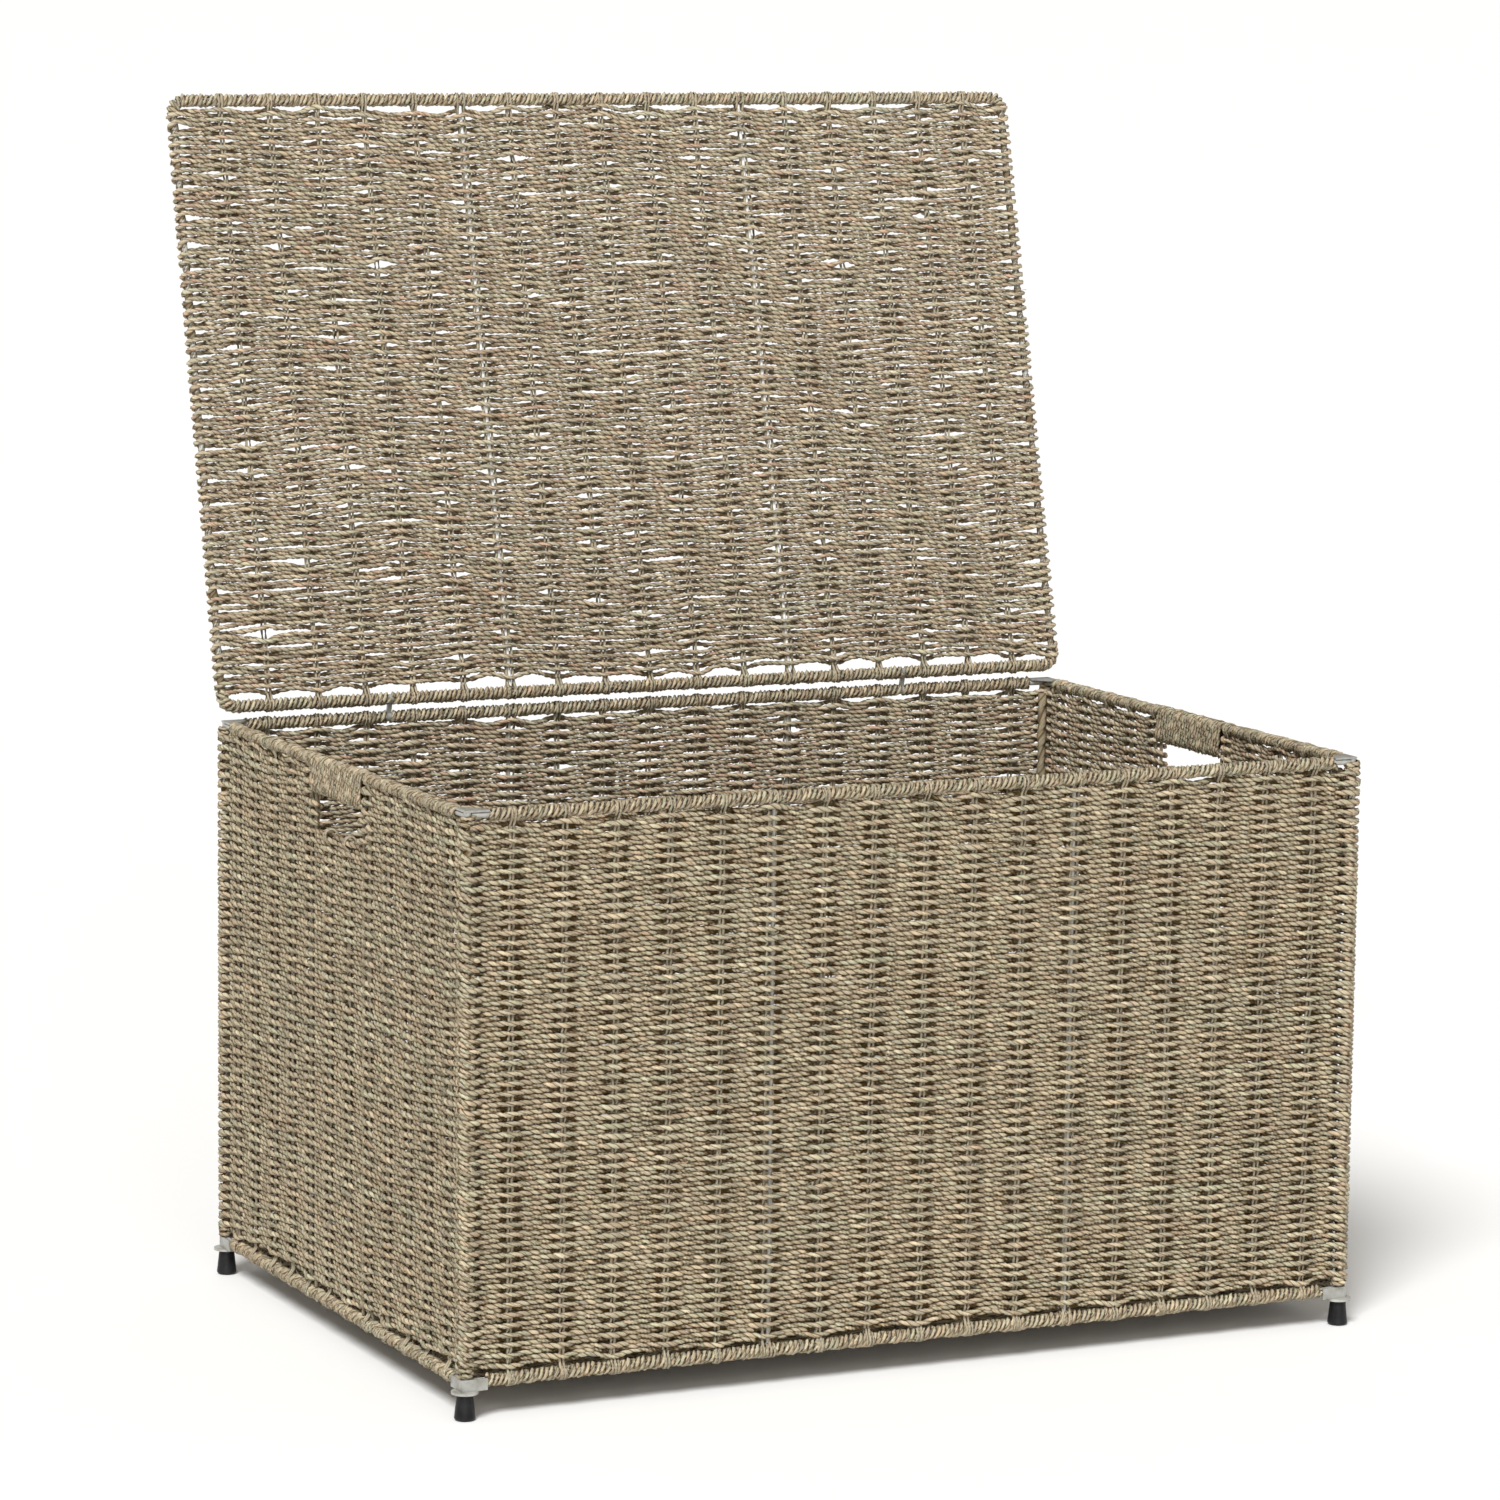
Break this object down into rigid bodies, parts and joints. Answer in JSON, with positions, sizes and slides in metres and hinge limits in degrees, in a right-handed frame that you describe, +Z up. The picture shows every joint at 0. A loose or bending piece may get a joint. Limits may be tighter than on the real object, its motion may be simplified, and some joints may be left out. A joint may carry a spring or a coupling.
{
  "type": "storage trunk",
  "caption": "Rectangular woven seagrass storage trunk on short rubber feet, with cord-wrapped rails, hand holes in its ends and a hinged lid standing open.",
  "frame": {"origin": "on the floor, under the middle of the box round the trunk and its open lid", "axes": "+X along the trunk's length, +Y from its front to its hinge side, +Z up"},
  "size_m": [0.822, 0.6705, 1.0154],
  "materials": {
    "woven_seagrass": "matt twisted grass cord in plain weave",
    "seagrass_cord": "matt twisted grass cord",
    "painted_steel": "satin light grey",
    "plated_steel": "dull zinc plated",
    "rubber_foot": "matt black"
  },
  "bodies": {
    "trunk": {"post_front_left": "painted_steel", "post_front_right": "painted_steel", "post_rear_left": "painted_steel", "post_rear_right": "painted_steel", "foot_front_left": "rubber_foot", "foot_front_right": "rubber_foot", "foot_rear_left": "rubber_foot", "foot_rear_right": "rubber_foot", "bracket_front_left": "plated_steel", "bracket_front_right": "plated_steel", "bracket_rear_left": "plated_steel", "bracket_rear_right": "plated_steel", "cap_plate_front_left": "plated_steel", "cap_plate_front_right": "plated_steel", "cap_plate_rear_left": "plated_steel", "cap_plate_rear_right": "plated_steel", "top_rod_front": "painted_steel", "top_rod_rear": "painted_steel", "top_rod_left": "painted_steel", "top_rod_right": "painted_steel", "bottom_rod_front": "painted_steel", "bottom_rod_rear": "painted_steel", "bottom_rod_left": "painted_steel", "bottom_rod_right": "painted_steel", "top_wrap_front": "seagrass_cord", "top_wrap_rear": "seagrass_cord", "top_wrap_left": "seagrass_cord", "top_wrap_right": "seagrass_cord", "bottom_wrap_front": "seagrass_cord", "bottom_wrap_rear": "seagrass_cord", "bottom_wrap_left": "seagrass_cord", "bottom_wrap_right": "seagrass_cord", "panel_front": "woven_seagrass", "panel_rear": "woven_seagrass", "panel_left": "woven_seagrass", "panel_right": "woven_seagrass", "panel_base": "woven_seagrass", "wires_front": "painted_steel", "wires_rear": "painted_steel", "wires_left": "painted_steel", "wires_right": "painted_steel", "wires_base": "painted_steel", "grip_rod_left": "painted_steel", "grip_rod_right": "painted_steel", "grip_wrap_left": "seagrass_cord", "grip_wrap_right": "seagrass_cord", "hinge_strap_left": "plated_steel", "hinge_strap_right": "plated_steel"},
    "lid": {"lid_rod_rear": "painted_steel", "lid_rod_front": "painted_steel", "lid_rod_left": "painted_steel", "lid_rod_right": "painted_steel", "lid_wrap_rear": "seagrass_cord", "lid_wrap_front": "seagrass_cord", "lid_panel": "woven_seagrass", "lid_wires": "painted_steel"}
  },
  "joints": [
    {"name": "lid_hinge", "type": "hinge", "parent": "trunk", "child": "lid", "pos_m": [0, 0.20674, 0.4975], "axis": [1, 0, 0], "range_deg": [0, 104.05]}
  ]
}
